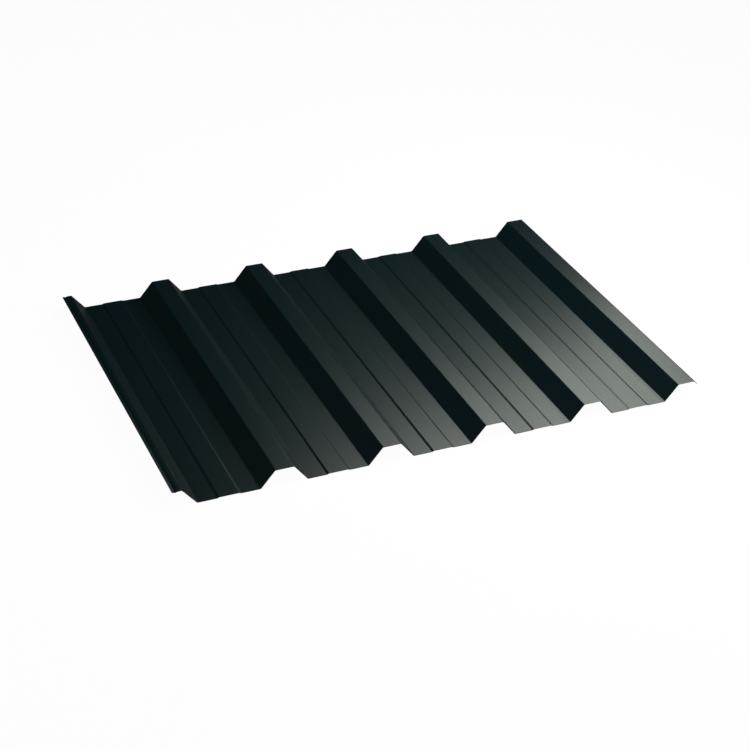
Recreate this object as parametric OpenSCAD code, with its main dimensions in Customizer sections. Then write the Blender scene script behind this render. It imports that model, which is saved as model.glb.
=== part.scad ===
// Box-profile roofing sheet, roll-formed from one strip of colour-coated steel.
//
// The section runs across X and the ribs run along Y. The sheet lies on the
// undersides of its pans at Z = 0, with its origin in the middle of that footprint.
// The left edge is the underlap, which goes below the next sheet, and the right
// edge is the overlap, which covers the underlap of the sheet beside it.
// Heights and widths are those of the upper surface, between bend corners.

/* [Sheet] */
// Length along the ribs
sheet_length = 705; // [300:5:6000]
// Thickness of the coated steel
sheet_thickness = 0.7; // [0.4:0.1:1.2]
// Inside radius of the bends beside the webs
bend_radius = 3.5; // [1:0.5:5]

/* [Ribs] */
// Number of full ribs, each with one pan on its left
rib_count = 5; // [2:1:8]
// Distance from one rib to the next
rib_pitch = 200; // [180:5:300]
// Height of the crowns above the pans
rib_depth = 32; // [20:1:45]
// Width of the flat crown
crown_width = 35; // [20:1:50]
// Horizontal run of a sloping web
web_run = 25.8; // [15:0.2:35]

/* [Pan stiffener] */
// Width of the raised middle of a pan
plateau_width = 35.4; // [20:0.2:50]
// Height that the middle is raised by
plateau_rise = 1.5; // [0.6:0.1:3]
// Horizontal run of the step on each side of it
step_run = 4; // [2:0.2:6]
// Inside radius of the bends of a step
step_radius = 0.8; // [0.5:0.1:2]

/* [Side laps] */
// Width of the flat on top of the underlap
underlap_flat = 7.8; // [6:0.2:12]
// Horizontal run down into the drip groove beyond that flat
groove_run = 4.4; // [3.6:0.2:8]
// Depth of the drip groove
groove_depth = 1.3; // [0.5:0.1:3]
// Horizontal run of the lip beyond the groove
lip_run = 5.8; // [4:0.2:10]
// Height that the lip rises from the groove
lip_rise = 1.3; // [0.5:0.1:4]
// Inside radius of the bends of the groove
groove_radius = 1.5; // [0.5:0.5:3]
// Horizontal run of the turned-down lip of the overlap
overlap_run = 6; // [4:0.5:12]

/* [Hidden] */

// Largest turn of one facet of a bend, in degrees
facet_turn = 6;

sheet_colour = [0.07, 0.12, 0.12];

pan_width = rib_pitch - crown_width - 2 * web_run;
pan_edge = (pan_width - plateau_width - 2 * step_run) / 2;
web_angle = atan2(rib_depth, web_run);

// The underlap's corner lies against the underside of the crown that covers it
underlap_corner = [
    -web_run - sheet_thickness * tan(web_angle / 2),
    rib_depth - sheet_thickness
];

// A stop on the upper surface is [x, height, inside bend radius].
// Stops from the free edge of the underlap to the first pan, whose corner is at x = 0
underlap_stops = [
    [
        underlap_corner.x - underlap_flat - groove_run - lip_run,
        underlap_corner.y - groove_depth + lip_rise,
        0
    ],
    [underlap_corner.x - underlap_flat - groove_run, underlap_corner.y - groove_depth, groove_radius],
    [underlap_corner.x - underlap_flat, underlap_corner.y, groove_radius],
    [underlap_corner.x, underlap_corner.y, bend_radius]
];

// Stops of one pan and of the rib on its right, up to the end of the crown
function rib_stops(x) = [
    [x, 0, bend_radius],
    [x + pan_edge, 0, step_radius],
    [x + pan_edge + step_run, plateau_rise, step_radius],
    [x + pan_width - pan_edge - step_run, plateau_rise, step_radius],
    [x + pan_width - pan_edge, 0, step_radius],
    [x + pan_width, 0, bend_radius],
    [x + pan_width + web_run, rib_depth, bend_radius],
    [x + pan_width + web_run + crown_width, rib_depth, bend_radius]
];

// The overlap ends a short way down the last rib's right web
overlap_x = rib_count * rib_pitch - web_run + overlap_run;
overlap_stop = [overlap_x, rib_depth - overlap_run * tan(web_angle), 0];

stops = concat(
    underlap_stops,
    [for (i = [0 : rib_count - 1]) each rib_stops(i * rib_pitch)],
    [overlap_stop]
);

// Heading of the straight run from stop a to stop b, in degrees
function heading(a, b) = atan2(b[1] - a[1], b[0] - a[0]);

// Unit normal of a run with that heading, on its upper side
function upper_normal(h) = [-sin(h), cos(h)];

// A station is [point on the upper surface, heading there].
// Stations round the bend at stop b. A bend over a crown turns clockwise, and its upper
// surface is then the outside of the bend.
function bend_stations(a, b, c) =
    let (
        first = heading(a, b),
        turn = heading(b, c) - first,
        side = sign(turn),
        radius = b[2] + (side < 0 ? sheet_thickness : 0),
        reach = radius * tan(abs(turn) / 2),
        start = [b[0], b[1]] - reach * [cos(first), sin(first)],
        centre = start + side * radius * upper_normal(first),
        facets = ceil(abs(turn) / facet_turn)
    )
    [
        for (k = [0 : facets])
            let (h = first + turn * k / facets)
            [centre - side * radius * upper_normal(h), h]
    ];

last = len(stops) - 1;
stations = concat(
    [[[stops[0][0], stops[0][1]], heading(stops[0], stops[1])]],
    [for (i = [1 : last - 1]) each bend_stations(stops[i - 1], stops[i], stops[i + 1])],
    [[[stops[last][0], stops[last][1]], heading(stops[last - 1], stops[last])]]
);

upper_line = [for (s = stations) s[0]];
lower_line = [for (s = stations) s[0] - sheet_thickness * upper_normal(s[1])];
outline = concat(upper_line, [for (i = [len(stations) - 1 : -1 : 0]) lower_line[i]]);

left_edge = min([for (p = outline) p.x]);
right_edge = max([for (p = outline) p.x]);

// The rolled section, lying on its pans and centred across X
module sheet_section() {
    translate([-(left_edge + right_edge) / 2, sheet_thickness])
        polygon(outline);
}

module profiled_sheet() {
    color(sheet_colour)
        translate([0, sheet_length / 2, 0])
            rotate([90, 0, 0])
                linear_extrude(height = sheet_length)
                    sheet_section();
}

profiled_sheet();
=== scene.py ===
"""Box profile roofing sheet of green-black coated steel, lying ribs up on a pale studio floor."""
import math

import bmesh
import bpy
from mathutils import Matrix, Vector


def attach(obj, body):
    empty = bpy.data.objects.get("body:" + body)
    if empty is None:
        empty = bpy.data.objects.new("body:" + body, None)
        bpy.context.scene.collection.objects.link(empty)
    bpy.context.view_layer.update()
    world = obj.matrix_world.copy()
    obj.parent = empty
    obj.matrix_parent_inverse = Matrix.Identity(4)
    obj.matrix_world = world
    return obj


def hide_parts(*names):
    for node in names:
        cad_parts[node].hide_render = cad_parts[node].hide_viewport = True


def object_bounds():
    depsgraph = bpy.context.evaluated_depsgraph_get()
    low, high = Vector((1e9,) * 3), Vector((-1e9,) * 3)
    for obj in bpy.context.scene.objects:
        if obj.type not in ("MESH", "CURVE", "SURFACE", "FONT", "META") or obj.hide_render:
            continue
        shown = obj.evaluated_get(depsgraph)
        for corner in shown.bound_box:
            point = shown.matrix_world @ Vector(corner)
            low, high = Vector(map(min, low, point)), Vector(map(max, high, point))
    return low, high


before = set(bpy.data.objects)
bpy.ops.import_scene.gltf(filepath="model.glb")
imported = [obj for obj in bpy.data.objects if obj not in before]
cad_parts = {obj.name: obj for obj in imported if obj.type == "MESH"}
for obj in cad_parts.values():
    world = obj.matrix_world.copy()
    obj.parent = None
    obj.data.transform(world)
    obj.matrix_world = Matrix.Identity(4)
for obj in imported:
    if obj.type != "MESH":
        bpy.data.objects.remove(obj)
cad_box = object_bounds()

MM = 0.001
SHEET = "profiled_sheet"

# Order of the finishes in the sheet's material slots
TOPCOAT, BACKING, SHEARED = range(3)

# Points closer than this are one point, and facets that meet within this turn are one flat
WELD_DISTANCE = 0.01 * MM
FLAT_TURN = math.radians(1)
# Facets of a bend turn less than this where they meet, and faces at a sheared edge turn more
SHEARED_TURN = math.radians(60)
# Rounding that the shear leaves on those edges
EDGE_ROUNDING = 0.12 * MM
# A face whose normal leans along the ribs by more than this belongs to a cut end
END_LEAN = 0.1

# Usual lowest and highest value of a noise pattern
NOISE_LOW, NOISE_HIGH = 0.3, 0.7

# Floor: a wide disc, lowered a little so that the pans' undersides do not share its plane
FLOOR_RADIUS = 40
FLOOR_DROP = 0.1 * MM
# Share of plain white in what is seen of the floor; the rest is matt and keeps the shadow
FLOOR_WHITE_SHARE = 0.97
# Brightness of that white in reflections, because the sheet's sheen shows dim surroundings
FLOOR_REFLECTED_LEVEL = 0.03

# Camera: an 85 mm lens on a 36 mm sensor, turned from +Y towards +X, tilted down and rolled
CAMERA_PLACE = Vector((-1.2058, -2.6671, 1.7614))
CAMERA_TURN = math.radians(24.523)
CAMERA_TILT = math.radians(31.775)
CAMERA_ROLL = math.radians(2.370)
CAMERA_LENS_MM = 85
CAMERA_SENSOR_MM = 36


def linear(hex_colour):
    """An sRGB hex colour as linear RGBA."""
    channels = [int(hex_colour[i:i + 2], 16) / 255 for i in (1, 3, 5)]
    return [c / 12.92 if c <= 0.04045 else ((c + 0.055) / 1.055) ** 2.4 for c in channels] + [1]


def add(tree, kind, inputs=None, **settings):
    """Adds a node with its settings, and sets each input to a value or links it to a socket."""
    node = tree.nodes.new(kind)
    for name, value in settings.items():
        setattr(node, name, value)
    for name, value in (inputs or {}).items():
        if isinstance(value, bpy.types.NodeSocket):
            tree.links.new(value, node.inputs[name])
        else:
            node.inputs[name].default_value = value
    return node


def new_material(name):
    """An empty node material and its output node."""
    material = bpy.data.materials.new(name)
    material.use_nodes = True
    material.node_tree.nodes.clear()
    return material, add(material.node_tree, "ShaderNodeOutputMaterial")


def noise(tree, sizes, detail):
    """A noise pattern whose features have these sizes along X, Y and Z of the sheet."""
    place = add(tree, "ShaderNodeTexCoord").outputs["Object"]
    scaled = add(tree, "ShaderNodeMapping", {"Vector": place, "Scale": [1 / size for size in sizes]})
    pattern = add(tree, "ShaderNodeTexNoise", {"Vector": scaled.outputs[0], "Scale": 1, "Detail": detail})
    return pattern.outputs["Fac"]


def two_tones(tree, pattern, dark, light):
    """A colour that goes from dark to light with the pattern."""
    ramp = add(tree, "ShaderNodeValToRGB", {"Fac": pattern})
    ramp.color_ramp.elements[0].color = linear(dark)
    ramp.color_ramp.elements[1].color = linear(light)
    return ramp.outputs["Color"]


def satin_polyester_topcoat():
    """Coil-coated satin polyester: smooth and nearly black, with a soft clear sheen.

    The roller leaves faint gloss streaks along the strip, which runs with the ribs.
    """
    material, output = new_material("satin_polyester_topcoat")
    tree = material.node_tree
    clouds = noise(tree, (70 * MM, 70 * MM, 70 * MM), detail=3)
    streaks = noise(tree, (4 * MM, 350 * MM, 4 * MM), detail=2)
    peel = noise(tree, (2 * MM, 2 * MM, 2 * MM), detail=1)
    gloss = add(
        tree, "ShaderNodeMapRange",
        {"Value": streaks, "From Min": NOISE_LOW, "From Max": NOISE_HIGH, "To Min": 0.288, "To Max": 0.298},
    )
    bump = add(tree, "ShaderNodeBump", {"Height": peel, "Strength": 0.2, "Distance": 0.01 * MM})
    paint = add(
        tree, "ShaderNodeBsdfPrincipled",
        {
            "Base Color": two_tones(tree, clouds, "#021419", "#04181d"),
            "Roughness": gloss.outputs["Result"],
            "IOR": 1.65,
            "Normal": bump.outputs["Normal"],
        },
    )
    tree.links.new(paint.outputs[0], output.inputs["Surface"])
    return material


def grey_backing_coat():
    """Thin grey backing coat on the reverse: matt, with roller streaks along the strip."""
    material, output = new_material("grey_backing_coat")
    tree = material.node_tree
    streaks = noise(tree, (6 * MM, 500 * MM, 6 * MM), detail=4)
    paint = add(
        tree, "ShaderNodeBsdfPrincipled",
        {"Base Color": two_tones(tree, streaks, "#8b908e", "#a3a7a4"), "Roughness": 0.55, "IOR": 1.5},
    )
    tree.links.new(paint.outputs[0], output.inputs["Surface"])
    return material


def sheared_steel():
    """Bare steel of the sheared ends and slit edges: dull, with fine marks of the blade."""
    material, output = new_material("sheared_steel")
    tree = material.node_tree
    marks = noise(tree, (0.4 * MM, 0.4 * MM, 3 * MM), detail=2)
    bump = add(tree, "ShaderNodeBump", {"Height": marks, "Strength": 0.4, "Distance": 0.05 * MM})
    steel = add(
        tree, "ShaderNodeBsdfPrincipled",
        {
            "Base Color": two_tones(tree, marks, "#3c4042", "#686d70"),
            "Metallic": 1,
            "Roughness": 0.45,
            "Normal": bump.outputs["Normal"],
        },
    )
    tree.links.new(steel.outputs[0], output.inputs["Surface"])
    return material


def rolled_sheet():
    """The sheet with smooth rolled bends, rounded sheared edges and a finish for each side."""
    shape = bmesh.new()
    shape.from_mesh(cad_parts[SHEET].data)
    bmesh.ops.remove_doubles(shape, verts=shape.verts[:], dist=WELD_DISTANCE)
    bmesh.ops.dissolve_limit(shape, angle_limit=FLAT_TURN, verts=shape.verts[:], edges=shape.edges[:])
    sheared_edges = [e for e in shape.edges if e.calc_face_angle(0) > SHEARED_TURN]
    bmesh.ops.bevel(
        shape, geom=sheared_edges, offset=EDGE_ROUNDING, offset_type="OFFSET", segments=2,
        profile=0.5, affect="EDGES", material=-1,
    )
    low, high = cad_box
    for face in shape.faces:
        face.smooth = True
        middle = face.calc_center_median()
        on_end = abs(face.normal.y) > END_LEAN
        on_side = min(middle.x - low.x, high.x - middle.x) < EDGE_ROUNDING * 2
        if on_end or on_side:
            face.material_index = SHEARED
        else:
            face.material_index = TOPCOAT if face.normal.z > 0 else BACKING
    mesh = bpy.data.meshes.new("coated_sheet")
    shape.to_mesh(mesh)
    shape.free()
    for material in (satin_polyester_topcoat(), grey_backing_coat(), sheared_steel()):
        mesh.materials.append(material)
    sheet = bpy.data.objects.new("coated_sheet", mesh)
    bpy.context.scene.collection.objects.link(sheet)
    sheet.modifiers.new("flat_faces_stay_flat", "WEIGHTED_NORMAL").weight = 100
    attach(sheet, "root")
    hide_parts(SHEET)


def studio_floor():
    """A pale floor that keeps a faint shadow: white to the camera and dim in reflections."""
    shape = bmesh.new()
    place = Matrix.Translation((0, 0, -FLOOR_DROP))
    bmesh.ops.create_circle(shape, cap_ends=True, segments=64, radius=FLOOR_RADIUS, matrix=place)
    mesh = bpy.data.meshes.new("studio_floor")
    shape.to_mesh(mesh)
    shape.free()
    floor = bpy.data.objects.new("studio_floor", mesh)
    bpy.context.scene.collection.objects.link(floor)
    material, output = new_material("white_floor")
    tree = material.node_tree
    ray = add(tree, "ShaderNodeLightPath").outputs
    seen_or_reflected = add(
        tree, "ShaderNodeMath", {0: ray["Is Camera Ray"], 1: ray["Is Glossy Ray"]}, operation="MAXIMUM"
    )
    in_view = add(
        tree, "ShaderNodeMath",
        {0: seen_or_reflected.outputs[0], 1: ray["Is Transmission Ray"]}, operation="MAXIMUM",
    )
    white_share = add(
        tree, "ShaderNodeMath", {0: in_view.outputs[0], 1: FLOOR_WHITE_SHARE}, operation="MULTIPLY"
    )
    level = add(
        tree, "ShaderNodeMapRange",
        {"Value": ray["Is Camera Ray"], "To Min": FLOOR_REFLECTED_LEVEL, "To Max": 1},
    )
    matt = add(tree, "ShaderNodeBsdfDiffuse", {"Color": linear("#f5f5f5")})
    white = add(
        tree, "ShaderNodeEmission", {"Color": linear("#ffffff"), "Strength": level.outputs["Result"]}
    )
    mixed = add(
        tree, "ShaderNodeMixShader", {0: white_share.outputs[0], 1: matt.outputs[0], 2: white.outputs[0]}
    )
    tree.links.new(mixed.outputs[0], output.inputs["Surface"])
    floor.data.materials.append(material)


def softbox(name, place, width, height, power, colour):
    """A rectangular soft light, aimed at the middle of the sheet and kept out of the picture."""
    lamp = bpy.data.lights.new(name, "AREA")
    lamp.shape = "RECTANGLE"
    lamp.size, lamp.size_y = width, height
    lamp.energy = power
    lamp.color = linear(colour)[:3]
    light = bpy.data.objects.new(name, lamp)
    light.location = place
    light.rotation_mode = "QUATERNION"
    light.rotation_quaternion = (-Vector(place)).to_track_quat("-Z", "Y")
    light.visible_camera = False
    bpy.context.scene.collection.objects.link(light)


def dim_room():
    """A dim room round the sheet, which the camera sees as white as the floor."""
    world = bpy.data.worlds.new("dim_room")
    world.use_nodes = True
    tree = world.node_tree
    tree.nodes.clear()
    ray = add(tree, "ShaderNodeLightPath").outputs
    room = add(tree, "ShaderNodeBackground", {"Color": linear("#17191c")})
    white = add(tree, "ShaderNodeBackground", {"Color": linear("#fcfcfc")})
    mixed = add(
        tree, "ShaderNodeMixShader", {0: ray["Is Camera Ray"], 1: room.outputs[0], 2: white.outputs[0]}
    )
    add(tree, "ShaderNodeOutputWorld", {"Surface": mixed.outputs[0]})
    bpy.context.scene.world = world


def studio():
    """The floor, a long softbox above the right half, a large dim panel on each side and a dim room."""
    studio_floor()
    softbox(
        "long_softbox", place=(0.543, -0.081, 0.836), width=1.81, height=1.03, power=18.5, colour="#f8fff3"
    )
    softbox("left_panel", place=(-2.4, -0.6, 1.6), width=3.0, height=2.2, power=27.6, colour="#ffffff")
    softbox("right_panel", place=(2.4, -0.8, 1.6), width=3.0, height=2.2, power=18, colour="#ffffff")
    dim_room()


def camera():
    """The camera at the photograph's viewing angle."""
    lens = bpy.data.cameras.new("camera")
    lens.lens = CAMERA_LENS_MM
    lens.sensor_width = CAMERA_SENSOR_MM
    eye = bpy.data.objects.new("camera", lens)
    eye.matrix_world = (
        Matrix.Translation(CAMERA_PLACE)
        @ Matrix.Rotation(-CAMERA_TURN, 4, "Z")
        @ Matrix.Rotation(math.radians(90) - CAMERA_TILT, 4, "X")
        @ Matrix.Rotation(CAMERA_ROLL, 4, "Z")
    )
    bpy.context.scene.collection.objects.link(eye)
    bpy.context.scene.camera = eye


rolled_sheet()
studio()
camera()
bpy.context.scene.view_settings.view_transform = "Standard"
